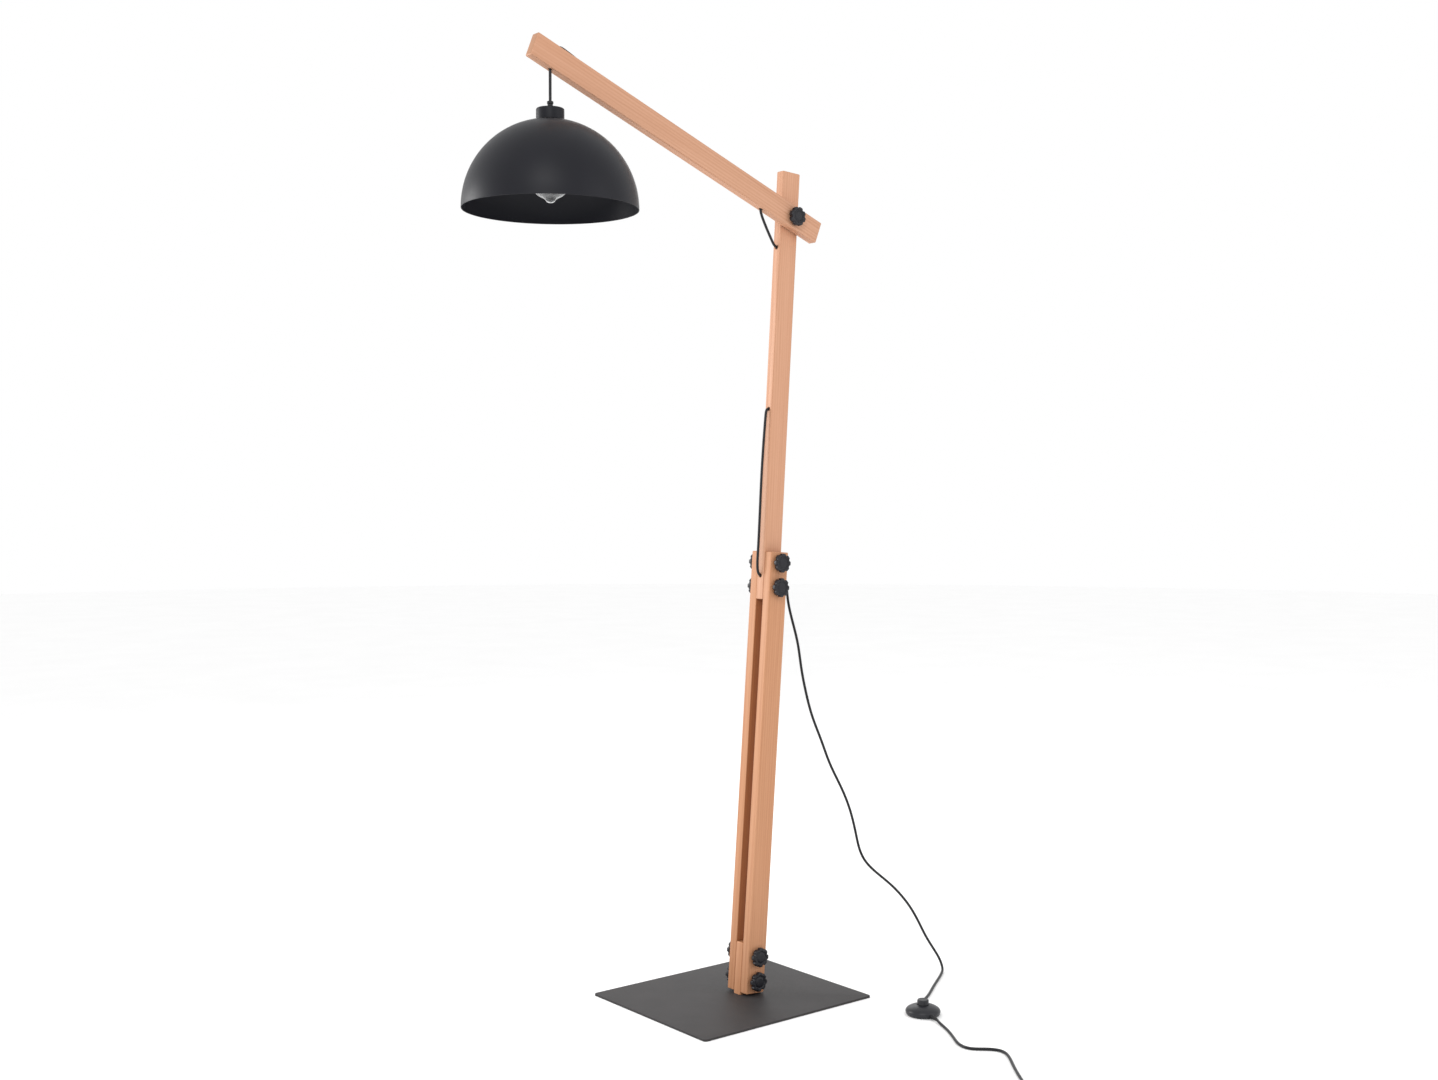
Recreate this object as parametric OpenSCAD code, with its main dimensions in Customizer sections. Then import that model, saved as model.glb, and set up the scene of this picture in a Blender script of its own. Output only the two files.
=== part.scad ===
// Adjustable arm floor lamp: a leaning timber stand on a steel plate, a
// tilting timber arm on one through bolt and a dome shade on its own lead.
// Millimetres. Origin on the floor at the middle of the base plate, +Z up,
// the arm reaches towards -X and the star knobs face -Y.

/* [Base] */
// Width of the base plate
plate_w = 400; // [340:5:460]
// Depth of the base plate
plate_d = 340; // [300:5:400]
// Thickness of the base plate
plate_t = 4; // [4:0.5:5]
// Corner radius of the base plate
plate_r = 6; // [2:1:20]

/* [Stand] */
// Width of the timber boards
board_w = 42.5; // [40:0.5:46]
// Length of the two legs
leg_len = 835; // [828:1:860]
// Length of the upper post
post_len = 817; // [800:1:840]
// Width of the boards of the arm
arm_w = 42; // [38:0.5:46]
// Reach of the arm from its pivot to its tip
arm_reach = 623; // [605:1:640]
// Tail of the arm behind its pivot
arm_tail = 66.5; // [40:0.5:80]

/* [Star knobs] */
// Diameter of the star knobs
knob_d = 36; // [32:1:40]
// Thickness of the star head
knob_h = 9; // [7:0.5:11]

/* [Shade] */
// Outside radius of the dome shade
shade_r = 150.5; // [149:0.5:156]
// Wall of the dome shade
shade_wall = 1; // [0.8:0.1:1.4]
// Free lead between the arm and the shade's grip
drop = 47; // [40:1:70]

/* [Foot switch] */
// Diameter of the foot switch
switch_d = 64; // [62:1:68]
// Diameter of the foot button
button_d = 21; // [18:0.5:21.5]

/* [Hidden] */
$fn = 64;

board_t = 19;
stand_y = -3.4;
leg_x = 29.5;
leg_lean = 4.21;
leg_bottom = 7.2;
post_x = 87.5;
post_z = 800;
post_lean = 3.67;
post_bottom = -51;
arm_x = 126;
arm_y = -23.6;
arm_z = 1476;
arm_tilt = 21.5;
cable_d = 5;
// Cable holes: a and b through the arm, c, d and e across the post
hole_a = -576;
hole_b = -74;
hole_c = 620;
hole_d = 311.5;
hole_e = -6.4;
hole_r = 3.5;
bolt_r = 4;
run_r = 4.08;
washer_t = 1.2;
gap = 0.2;
bolts_z = [31, 77, 775, 821.5];
leg_face = 1.5 * board_t;

pend_x = arm_x + hole_a * cos(arm_tilt) - arm_w / 2 * sin(arm_tilt);
pend_z = arm_z - hole_a * sin(arm_tilt) - arm_w / 2 * cos(arm_tilt) - 3.6;
grip_z = pend_z - drop - 3;
dome_z = grip_z - 181.4;
switch_p = [204, -301, 0];
in_a = 52;
out_a = 254;
gland_len = 18;
coil_p = [7.6, -696, 0];

// ---- frames ----
module leg_frame() translate([leg_x, stand_y, 0]) rotate([0, leg_lean, 0]) children();
module post_frame() translate([post_x, stand_y, post_z]) rotate([0, post_lean, 0]) children();
module arm_frame() translate([arm_x, arm_y, arm_z]) rotate([0, arm_tilt, 0]) children();
module shade_frame() translate([pend_x, arm_y, grip_z]) children();
module bolt_at(i) leg_frame() translate([0, 0, bolts_z[i]]) children();

// ---- cords ----
function unit(v) = v / norm(v);
function pad(p) = concat([2 * p[0] - p[1]], p, [2 * p[len(p) - 1] - p[len(p) - 2]]);
function knot(a, b, c, d, t) =
  (a * pow(1 - t, 3) + b * (3 * pow(t, 3) - 6 * t * t + 4) + c * (-3 * pow(t, 3) + 3 * t * t + 3 * t + 1) + d * pow(t, 3)) / 6;
// A smooth curve along the route's points, n rings to each of its spans
function smooth(p, n) = let (q = pad(p))
  concat([for (i = [1 : len(q) - 3]) for (k = [0 : n - 1]) knot(q[i - 1], q[i], q[i + 1], q[i + 2], k / n)], [p[len(p) - 1]]);
function heading(p, i) = i == 0 ? unit(p[1] - p[0]) : i == len(p) - 1 ? unit(p[i] - p[i - 1]) : unit(unit(p[i + 1] - p[i]) + unit(p[i] - p[i - 1]));
function frames(p, i = 0, u = [0, 0, 0], acc = []) = i == len(p) ? acc :
  let (t = heading(p, i), s = i == 0 ? unit(cross(t, abs(t[2]) < 0.8 ? [0, 0, 1] : [0, 1, 0])) : unit(u - t * (u * t)))
  frames(p, i + 1, s, concat(acc, [[s, cross(t, s)]]));
module cord(route, n = 2, d = cable_d, sides = 10) {
  p = smooth(route, n);
  f = frames(p);
  m = len(p);
  polyhedron(
    points = [for (i = [0 : m - 1]) for (k = [0 : sides - 1]) p[i] + d / 2 * (cos(k * 360 / sides) * f[i][0] + sin(k * 360 / sides) * f[i][1])],
    faces = concat([[for (k = [0 : sides - 1]) k]], [[for (k = [sides - 1 : -1 : 0]) (m - 1) * sides + k]],
      [for (i = [0 : m - 2]) for (k = [0 : sides - 1]) let (a = i * sides + k, b = i * sides + (k + 1) % sides) each [[a, a + sides, b + sides], [a, b + sides, b]]]));
}

// Routes in the arm's own frame, in the post's own frame, then in the lamp's frame
arm_route = [[hole_a, 0, -20], [hole_a, 0, 0], [hole_a, 0, 10], [hole_a, 0, 18.5], [hole_a + 2.5, 0, 23.5], [hole_a + 9, 0, 24.6], [hole_a + 20, 0, 24],
  [hole_a + 34, 0, 23.2], [hole_a + 48, 0, 21.2], [hole_a + 64, 0, 18.4], [hole_a + 84, 0, 17.8], [-400, 0, 17.8], [-260, 0, 17.8], [-140, 0, 17.8],
  [hole_b - 28, 0, 17.8], [hole_b - 12, 0, 17.8], [hole_b, 0, 17.8], [hole_b, 0, 6], [hole_b, 0, -8], [hole_b, 0, -20]];
post_route = [[-20.5, 0, hole_c], [-8, 0, hole_c], [6, 0, hole_c], [18, 0, hole_c], [18, 0, hole_c - 12], [18, 0, hole_c - 28], [18, 0, 460],
  [18, 0, hole_d + 28], [18, 0, hole_d + 12], [18, 0, hole_d], [6, 0, hole_d], [-8, 0, hole_d], [-20.5, 0, hole_d]];
side_route = [[-20.5, 0, hole_d], [-24, 0, hole_d - 0.5], [-26.6, 0, hole_d - 4], [-27.4, 0, hole_d - 10.5], [-28, 0, hole_d - 20], [-29.5, 0, 270], [-31.4, 0, 230],
  [-32.2, 0, 180], [-32.2, 0, 120], [-32, 0, 70], [-32.4, 0, 40], [-32.8, 0, 22], [-31.6, 0, 8], [-28, 0, hole_e + 4.4], [-22.4, 0, hole_e + 0.6], [-15, 0, hole_e],
  [-6, 0, hole_e], [6, 0, hole_e], [21.3, 0, hole_e]];
loop_route = [[49.66, -23.6, 1484.1], [48.85, -23.6, 1482.0], [50.5, -22.9, 1477], [57, -20, 1468], [68, -15.5, 1456], [80, -11, 1443], [92, -6.8, 1430.5],
  [99, -4.4, 1423.5], [106.7, -3.4, 1420]];
floor_route = [[108.3, -3.4, 792.2], [111, -3.4, 792.2], [119.4, -3.4, 790.9], [127, -3.4, 786.3], [131.6, -3.5, 779], [133.2, -3.9, 770], [133, -4.6, 759],
  [134, -7, 737], [142, -10.5, 703], [153.5, -14.8, 660], [158, -17, 613], [167, -21, 566], [179, -25, 518], [198, -33, 471], [213, -39, 423], [238, -49, 375],
  [256, -56, 327], [266, -60, 279], [276, -65, 226], [335, -89, 181], [376, -106, 128], [398, -115, 78], [411.5, -119.6, 55.5], [420.4, -122.6, 41.5], [428.9, -125, 28.3],
  [432.4, -128.3, 18.7], [431.4, -134, 10], [426.2, -140.7, 4.2], [417.6, -147.2, 2.6], [398, -161.4, 2.6], [366, -182, 2.6], [326, -208, 2.6], [292, -232, 2.6], [262, -249, 2.6], [246, -256, 4], [233.6, -263.2, 5]];
wall_route = [[190.2, -349, 5], [186, -358, 3.6], [180, -372, 2.6], [170, -394, 2.6], [149, -428, 2.6], [126, -460, 2.6], [126, -488, 2.6],
  [150, -503, 2.6], [166, -526, 2.6], [152, -552, 2.6], [124, -584, 2.6], [88, -630, 2.6], [54, -680, 2.6], [32.1, -713.3, 2.6]];
tail_route = [[-9.7, -717.4, 7.2], [-16, -712.3, 7.6], [-24, -705.8, 7.4], [-34, -697.7, 6.6], [-44, -689.6, 6.4]];

// ---- stand ----
module base_plate() color([0.345, 0.33, 0.333]) difference() {
  linear_extrude(plate_t) union() {
    square([plate_w - 2 * plate_r, plate_d], center = true);
    square([plate_w, plate_d - 2 * plate_r], center = true);
    for (x = [-1, 1], y = [-1, 1]) translate([x * (plate_w / 2 - plate_r), y * (plate_d / 2 - plate_r)]) circle(plate_r);
  }
  for (x = [18, 44]) translate([x, stand_y, 0])
    rotate_extrude() polygon([[0, -1], [5.2, -1], [5.2, 0.2], [2.7, 3], [2.7, 6], [0, 6]]);
}
module plate_screws() color("silver") for (x = [18, 44]) translate([x, stand_y, 0])
  rotate_extrude() polygon([[0, 0.3], [5, 0.3], [2.45, 3.1], [2.45, 33], [0, 36]]);

module spacer_block() color([0.83, 0.62, 0.49]) difference() {
  leg_frame() translate([-board_w / 2, -board_t / 2, -8]) cube([board_w, board_t, 108.5]);
  translate([-100, -100, -40]) cube([300, 200, 40 + plate_t]);
  for (i = [0, 1]) bolt_at(i) rotate([90, 0, 0]) cylinder(r = run_r, h = 60, center = true);
  for (x = [18, 44]) translate([x, stand_y, 0]) cylinder(r = 2.45, h = 37);
}
module leg_board(y) difference() {
  leg_frame() translate([-board_w / 2, y, leg_bottom]) cube([board_w, board_t, leg_len]);
  for (i = [0 : 3]) bolt_at(i) rotate([90, 0, 0]) cylinder(r = run_r, h = 120, center = true);
}
module front_leg() color([0.85, 0.64, 0.52]) leg_board(-leg_face);
module rear_leg() color([0.85, 0.64, 0.52]) leg_board(board_t / 2);

module upper_post() color([0.85, 0.64, 0.52]) difference() {
  post_frame() difference() {
    translate([-board_w / 2, -board_t / 2, post_bottom]) cube([board_w, board_t, post_len]);
    for (z = [hole_c, hole_d, hole_e]) translate([0, 0, z]) rotate([0, 90, 0]) cylinder(r = hole_r, h = 80, center = true);
    translate([board_w / 2 - 6, -3.25, hole_d]) cube([10, 6.5, hole_c - hole_d]);
  }
  for (i = [2, 3]) bolt_at(i) rotate([90, 0, 0]) cylinder(r = run_r, h = 60, center = true);
  translate([arm_x, stand_y, arm_z]) rotate([90, 0, 0]) cylinder(r = run_r, h = 60, center = true);
}
module washer(r = 9) difference() { cylinder(r = r, h = washer_t); translate([0, 0, -1]) cylinder(r = 4.3, h = 4); }
module leg_washers() color([0.2, 0.2, 0.2]) for (i = [0 : 3]) bolt_at(i) {
  translate([0, -leg_face, 0]) rotate([90, 0, 0]) washer();
  translate([0, leg_face, 0]) rotate([-90, 0, 0]) washer();
}

// ---- star knobs, bolts and nuts ----
module star(h) linear_extrude(h) difference() {
  circle(knob_d / 2);
  for (k = [0 : 7]) rotate(k * 45 + 22.5) translate([knob_d / 2 + 1.5, 0]) circle(4);
}
// Head and hub, the seat at z = 0 and the face at the top
module star_knob(bore, depth) difference() {
  union() { cylinder(r = 10, h = 3); translate([0, 0, 2.6]) star(knob_h); }
  translate([0, 0, -1]) cylinder(r = bore, h = depth + 1);
}
module front_knob() translate([0, -leg_face - washer_t - gap, 0]) rotate([90, 0, 0]) star_knob(bolt_r, 8.6);
module rear_nut() translate([0, leg_face + washer_t + gap, 0]) rotate([-90, 0, 0]) star_knob(run_r, 30);
module leg_bolt() translate([0, leg_face + washer_t + 10, 0]) rotate([90, 0, 0]) cylinder(r = bolt_r, h = 2 * leg_face + 2 * washer_t + gap + 18.5);

module base_knob_lower() color([0.24, 0.25, 0.26]) bolt_at(0) front_knob();
module base_knob_upper() color([0.24, 0.25, 0.26]) bolt_at(1) front_knob();
module clamp_knob_lower() color([0.24, 0.25, 0.26]) bolt_at(2) front_knob();
module clamp_knob_upper() color([0.24, 0.25, 0.26]) bolt_at(3) front_knob();
module base_bolt_lower() color("silver") bolt_at(0) leg_bolt();
module base_bolt_upper() color("silver") bolt_at(1) leg_bolt();
module clamp_bolt_lower() color("silver") bolt_at(2) leg_bolt();
module clamp_bolt_upper() color("silver") bolt_at(3) leg_bolt();
module base_nut_lower() color([0.24, 0.25, 0.26]) bolt_at(0) rear_nut();
module base_nut_upper() color([0.24, 0.25, 0.26]) bolt_at(1) rear_nut();
module clamp_nut_lower() color([0.24, 0.25, 0.26]) bolt_at(2) rear_nut();
module clamp_nut_upper() color([0.24, 0.25, 0.26]) bolt_at(3) rear_nut();

// ---- arm ----
arm_front = -board_t / 2;
post_rear = stand_y - arm_y + board_t / 2;
module arm_beam() color([0.85, 0.64, 0.52]) arm_frame() difference() {
  translate([-arm_reach, -board_t / 2, -arm_w / 2]) cube([arm_reach + arm_tail, board_t, arm_w]);
  rotate([90, 0, 0]) cylinder(r = run_r, h = 60, center = true);
  for (x = [hole_a, hole_b]) translate([x, 0, 0]) cylinder(r = hole_r, h = 80, center = true);
  translate([hole_a, -3.25, arm_w / 2 - 6]) cube([hole_b - hole_a, 6.5, 10]);
}
module arm_knob() color([0.24, 0.25, 0.26]) arm_frame() translate([0, arm_front - washer_t - gap, 0]) rotate([90, 0, 0]) star_knob(bolt_r, 8.6);
module arm_bolt() color("silver") arm_frame() translate([0, post_rear + washer_t + 10, 0]) rotate([90, 0, 0])
  cylinder(r = bolt_r, h = post_rear - arm_front + 2 * washer_t + gap + 18.5);
// Plain hexagon nut behind the post
module arm_nut() color([0.2, 0.2, 0.2]) arm_frame() translate([0, post_rear + washer_t + gap, 0]) rotate([-90, 0, 0]) difference() {
  cylinder(r = 7.5, h = 6.5, $fn = 6);
  translate([0, 0, -1]) cylinder(r = run_r, h = 9);
}
module arm_face_washer() color([0.2, 0.2, 0.2]) arm_frame() translate([0, arm_front, 0]) rotate([90, 0, 0]) washer();
module arm_washer() color([0.2, 0.2, 0.2]) translate([arm_x, stand_y - board_t / 2, arm_z]) rotate([90, 0, 0])
  difference() { cylinder(r = 14, h = 1); translate([0, 0, -1]) cylinder(r = 4.3, h = 4); }
module arm_rear_washer() color([0.2, 0.2, 0.2]) translate([arm_x, stand_y + board_t / 2, arm_z]) rotate([-90, 0, 0]) washer();
module arm_cable() color([0.12, 0.12, 0.13]) arm_frame() cord(arm_route, 2, cable_d, 8);

// ---- pendant ----
module pendant_cable() color([0.12, 0.12, 0.13]) translate([pend_x, arm_y, pend_z]) {
  sphere(cable_d / 2);
  translate([0, 0, -drop]) cylinder(d = cable_d, h = drop);
  translate([0, 0, -drop]) sphere(cable_d / 2);
}
module cord_grip() color([0.16, 0.16, 0.17]) shade_frame() rotate_extrude()
  polygon([[0, 0], [5, 0], [5.5, -0.6], [5.5, -4], [4.5, -4.6], [4.5, -7.2], [5.5, -7.8], [5.5, -12], [5, -12], [5, -17], [0, -17]]);
module shade_cap() color([0.2, 0.21, 0.22]) shade_frame() rotate_extrude()
  polygon([[22.5, -32.4], [24, -32.4], [24, -15], [23.3, -13.2], [22, -12.4], [20.4, -12.1], [5.2, -12.1],
    [5.2, -13.8], [19.8, -13.8], [21.4, -14.6], [22.3, -16], [22.5, -17.6]]);
module shade_shell() color([0.2, 0.21, 0.22]) translate([pend_x, arm_y, dome_z]) difference() {
  sphere(shade_r, $fn = 128);
  sphere(shade_r - shade_wall, $fn = 128);
  translate([0, 0, -201]) cube([400, 400, 400.2], center = true);
  translate([0, 0, 100]) cylinder(r = 20.3, h = 100);
}
module lampholder() color([0.1, 0.1, 0.1]) shade_frame() rotate_extrude()
  polygon([[14.4, -82], [19.8, -82], [19.8, -32.2], [22, -32.2], [22, -29.6], [17, -29.6], [14, -22], [3, -20.4], [3, -24], [11, -26], [13, -40], [13, -61], [14.4, -61]]);
module shade_ring() color([0.1, 0.1, 0.1]) shade_frame() rotate_extrude()
  polygon([[20, -44], [25, -44], [25, -35.4], [20, -35.4]]);
module bulb_cap() color("silver") shade_frame() translate([0, 0, -171.4]) rotate_extrude()
  polygon([[12.88, 85], [13.6, 85], [13.3, 87], [13.3, 103], [8, 106], [5, 107], [5, 108.5], [0, 108.5], [0, 104], [7, 104], [12.88, 101]]);
module bulb_glass() color([0.85, 0.87, 0.88, 0.4]) shade_frame() translate([0, 0, -171.4]) rotate_extrude()
  polygon([[0, 0], [4.5, 0.8], [7.5, 2.8], [9.2, 5.4], [12, 8], [19, 10.6], [25, 14.4], [29, 20], [31, 26.6], [31.6, 33.4], [31, 40.6],
    [29, 47.6], [26, 54], [22.6, 60.5], [18.8, 67.4], [15.8, 75], [14, 80.5], [12.8, 84], [12.6, 92], [11.8, 92], [12, 83.6], [13.2, 80], [15, 74.6],
    [18, 67], [21.8, 60.1], [25.2, 53.6], [28.2, 47.2], [30.2, 40.4], [30.8, 33.4], [30.2, 26.9], [28.3, 20.5], [24.5, 15.2], [18.6, 11.5],
    [11.4, 8.9], [8.3, 5.9], [7, 3.5], [4.2, 1.7], [0, 0.9]]);
module bulb_stem() color([0.9, 0.8, 0.5]) shade_frame() translate([0, 0, -171.4]) {
  rotate_extrude() polygon([[0, 50], [2, 51], [2.4, 66], [4.4, 74], [6.5, 84], [6.5, 92], [0, 92]]);
  for (k = [0 : 3]) rotate(k * 90 + 45) translate([9, 0, 24]) cylinder(r = 0.9, h = 42, $fn = 24);
}

// ---- cables held on the stand ----
module loop_cable() color([0.12, 0.12, 0.13]) cord(loop_route, 2, cable_d, 8);
module post_cable() color([0.12, 0.12, 0.13]) post_frame() cord(post_route, 2, cable_d, 8);
module side_cable() color([0.12, 0.12, 0.13]) post_frame() cord(side_route, 2, cable_d, 8);

// ---- free lead, foot switch and plug ----
module floor_lead() color([0.12, 0.12, 0.13]) cord(floor_route, 2);
module wall_lead() color([0.12, 0.12, 0.13]) cord(wall_route, 2);
module switch_frame() translate(switch_p) children();
module switch_base() color([0.15, 0.15, 0.16]) switch_frame() cylinder(r = switch_d / 2 - 1.8, h = 2.6);
module switch_cover() color([0.2, 0.21, 0.23]) switch_frame() difference() {
  rotate_extrude() polygon([[switch_d / 2 - 1.6, 0.4], [switch_d / 2 - 0.4, 0.4], [switch_d / 2, 1.4], [switch_d / 2, 6.6], [switch_d / 2 - 1, 9],
    [switch_d / 2 - 4, 11], [22, 13.4], [15, 15.6], [11.4, 16.4], [11.4, 14.8], [14.8, 14], [21.6, 11.8], [27.4, 9.6], [switch_d / 2 - 1.6, 6.4]]);
  for (a = [in_a, out_a]) rotate(a) translate([20, 0, 5]) rotate([0, 90, 0]) cylinder(r = 3.6, h = 20);
}
module switch_button() color([0.2, 0.21, 0.23]) switch_frame() rotate_extrude()
  polygon([[0, 12.4], [button_d / 2 + 1.6, 12.4], [button_d / 2 + 1.6, 13.6], [button_d / 2, 13.8], [button_d / 2, 26.4], [button_d / 2 - 1.4, 28], [0, 28.4]]);
module switch_core() color("wheat") switch_frame() translate([-12, -9, 2.6]) cube([24, 18, 6.4]);
module gland(a) switch_frame() rotate(a) translate([switch_d / 2 - 4, 0, 5]) rotate([0, 90, 0]) {
  cylinder(r = 3.5, h = 5);
  translate([0, 0, 5]) rotate_extrude() polygon([[0, 0], [3.9, 0], [3.9, 1], [3.5, 2], [2.9, gland_len - 3], [0, gland_len - 3]]);
}
module switch_gland_in() color([0.12, 0.12, 0.13]) gland(in_a);
module switch_gland_out() color([0.12, 0.12, 0.13]) gland(out_a);
// Outer shape of the three wound turns
module lead_coil() color([0.12, 0.12, 0.13]) translate(coil_p) rotate_extrude()
  polygon([[22.4, 0.6], [23, 0.1], [32, 0.1], [32.6, 0.6], [32.6, 4.4], [30, 8.8], [28.5, 9.6], [26.5, 9.6], [25, 8.8], [22.4, 4.4]]);
module lead_tail() color([0.12, 0.12, 0.13]) cord(tail_route, 1);
// Plug lying flat, its pins pointing on along the tail
module plug_frame() translate([-44, -689.6, 6.4]) rotate([0, 0, 141]) children();
module plug_relief() color([0.12, 0.12, 0.13]) plug_frame() rotate([0, 90, 0])
  rotate_extrude() polygon([[0, 0], [2.9, 0], [4.2, 20], [4.2, 24], [0, 24]]);
module plug_body() color([0.12, 0.12, 0.13]) plug_frame() translate([24, 0, -6.2]) linear_extrude(12.8)
  polygon([[0, -5], [5, -8], [12, -15.5], [18, -17.5], [34, -17.5], [36, -15.5], [36, 15.5], [34, 17.5], [18, 17.5], [12, 15.5], [5, 8], [0, 5]]);
module plug_pins() color("silver") plug_frame() for (y = [-9.3, 9.3]) translate([60, y, 0.2]) rotate([0, 90, 0]) {
  cylinder(r = 2, h = 18);
  translate([0, 0, 18]) cylinder(r1 = 2, r2 = 1.2, h = 1);
}
module cable_tie() color([0.12, 0.12, 0.13]) translate(coil_p) rotate(60) translate([0, -2, 0]) difference() {
  translate([21.2, 0, 0]) cube([12.6, 4, 10.8]);
  translate([22.2, -1, 0.8]) cube([10.6, 6, 9]);
}

base_plate();
plate_screws();
spacer_block();
front_leg();
rear_leg();
upper_post();
leg_washers();
base_knob_lower();
base_knob_upper();
clamp_knob_lower();
clamp_knob_upper();
base_bolt_lower();
base_bolt_upper();
clamp_bolt_lower();
clamp_bolt_upper();
base_nut_lower();
base_nut_upper();
clamp_nut_lower();
clamp_nut_upper();
arm_beam();
arm_knob();
arm_bolt();
arm_nut();
arm_washer();
arm_face_washer();
arm_rear_washer();
arm_cable();
pendant_cable();
cord_grip();
shade_cap();
shade_shell();
lampholder();
shade_ring();
bulb_cap();
bulb_glass();
bulb_stem();
loop_cable();
post_cable();
side_cable();
floor_lead();
switch_base();
switch_cover();
switch_button();
switch_core();
switch_gland_in();
switch_gland_out();
wall_lead();
lead_coil();
lead_tail();
plug_relief();
plug_body();
plug_pins();
cable_tie();
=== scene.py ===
import math
import bpy, bmesh
import numpy as np
from mathutils import Vector, Matrix


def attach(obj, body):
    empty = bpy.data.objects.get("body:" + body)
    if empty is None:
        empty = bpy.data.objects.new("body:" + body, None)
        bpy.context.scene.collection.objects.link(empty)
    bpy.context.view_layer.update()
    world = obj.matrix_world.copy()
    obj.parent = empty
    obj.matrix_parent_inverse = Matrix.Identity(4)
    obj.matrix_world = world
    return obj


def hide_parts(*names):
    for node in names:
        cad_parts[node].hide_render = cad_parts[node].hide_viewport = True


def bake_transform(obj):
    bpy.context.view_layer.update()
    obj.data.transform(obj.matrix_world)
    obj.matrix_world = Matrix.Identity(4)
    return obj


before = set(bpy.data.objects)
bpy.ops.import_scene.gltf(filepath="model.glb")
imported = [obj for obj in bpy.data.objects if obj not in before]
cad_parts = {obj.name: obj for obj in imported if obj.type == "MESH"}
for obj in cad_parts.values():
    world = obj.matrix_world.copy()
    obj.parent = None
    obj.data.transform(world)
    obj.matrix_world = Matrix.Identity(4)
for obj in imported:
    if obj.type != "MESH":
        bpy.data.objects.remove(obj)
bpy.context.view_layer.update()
MM = 0.001
scn = bpy.context.scene
COL = scn.collection

# ------------------------------------------------------------------ camera
cam = bpy.data.objects.new("camera", bpy.data.cameras.new("camera"))
COL.objects.link(cam)
cam.location = (-1.9322, -2.3575, 0.9513)
cam.rotation_euler = (math.radians(88.355), 0, math.radians(-38.871))
cam.data.lens, cam.data.sensor_width = 40.67, 36
cam.data.clip_start, cam.data.clip_end = 0.05, 60
scn.camera = cam
scn.view_settings.view_transform = "Standard"

# ------------------------------------------------------------------ frames of the lamp
def place(x, y, z, a):
    return Matrix.Translation((x * MM, y * MM, z * MM)) @ Matrix.Rotation(math.radians(a), 4, "Y")

LEG = place(29.5, -3.4, 0, 4.21)
POST = place(87.5, -3.4, 800, 3.67)
ARM = place(126, -23.6, 1476, 21.5)
PX = 126 - 576 * math.cos(math.radians(21.5)) - 21 * math.sin(math.radians(21.5))
PZ = 1476 + 576 * math.sin(math.radians(21.5)) - 21 * math.cos(math.radians(21.5)) - 3.6
GZ = PZ - 50
SHADE = place(PX, -23.6, GZ, 0)
DZ = GZ - 181.4

# ------------------------------------------------------------------ materials
class Mat:
    def __init__(self, name):
        self.m = bpy.data.materials.new(name)
        self.m.use_nodes = True
        self.t = self.m.node_tree
        self.b = self.t.nodes["Principled BSDF"]
        self.co = self.n("ShaderNodeTexCoord").outputs["Object"]

    def n(self, kind, **kw):
        x = self.t.nodes.new(kind)
        for k, v in kw.items():
            setattr(x, k, v)
        return x

    def link(self, a, b):
        self.t.links.new(a, b)
        return b

    def mapped(self, scale, loc=(0, 0, 0), rot=(0, 0, 0)):
        m = self.n("ShaderNodeMapping")
        m.inputs["Scale"].default_value = scale
        m.inputs["Location"].default_value = loc
        m.inputs["Rotation"].default_value = rot
        self.link(self.co, m.inputs["Vector"])
        return m.outputs["Vector"]

    def noise(self, vec, scale, detail=4, rough=0.55, dist=0.0):
        x = self.n("ShaderNodeTexNoise")
        x.inputs["Scale"].default_value = scale
        x.inputs["Detail"].default_value = detail
        x.inputs["Roughness"].default_value = rough
        x.inputs["Distortion"].default_value = dist
        self.link(vec, x.inputs["Vector"])
        return x.outputs["Fac"]

    def math(self, op, a, b=None, clamp=False):
        x = self.n("ShaderNodeMath", operation=op, use_clamp=clamp)
        for i, v in enumerate((a, b)):
            if v is None:
                continue
            if isinstance(v, (int, float)):
                x.inputs[i].default_value = v
            else:
                self.link(v, x.inputs[i])
        return x.outputs[0]

    def span(self, fac, lo, hi, a=0.0, b=1.0):
        x = self.n("ShaderNodeMapRange")
        for k, v in (("From Min", a), ("From Max", b), ("To Min", lo), ("To Max", hi)):
            x.inputs[k].default_value = v
        self.link(fac, x.inputs["Value"])
        return x.outputs["Result"]

    def ramp(self, fac, stops):
        x = self.n("ShaderNodeValToRGB")
        e = x.color_ramp.elements
        e[0].position, e[0].color = stops[0][0], (*stops[0][1], 1)
        e[1].position, e[1].color = stops[-1][0], (*stops[-1][1], 1)
        for p, c in stops[1:-1]:
            q = e.new(p)
            q.color = (*c, 1)
        self.link(fac, x.inputs["Fac"])
        return x.outputs["Color"]

    def mix(self, fac, a, b, mode="MIX"):
        x = self.n("ShaderNodeMix", data_type="RGBA", blend_type=mode)
        for i, v in ((0, fac), (6, a), (7, b)):
            if isinstance(v, (int, float)):
                x.inputs[i].default_value = v
            elif isinstance(v, tuple):
                x.inputs[i].default_value = (*v, 1)
            else:
                self.link(v, x.inputs[i])
        return x.outputs[2]

    def bump(self, height, strength, dist):
        x = self.n("ShaderNodeBump")
        x.inputs["Strength"].default_value = strength
        x.inputs["Distance"].default_value = dist
        self.link(height, x.inputs["Height"])
        self.link(x.outputs["Normal"], self.b.inputs["Normal"])

    def set(self, **kw):
        for k, v in kw.items():
            self.b.inputs[k.replace("_", " ")].default_value = v
        return self


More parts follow.
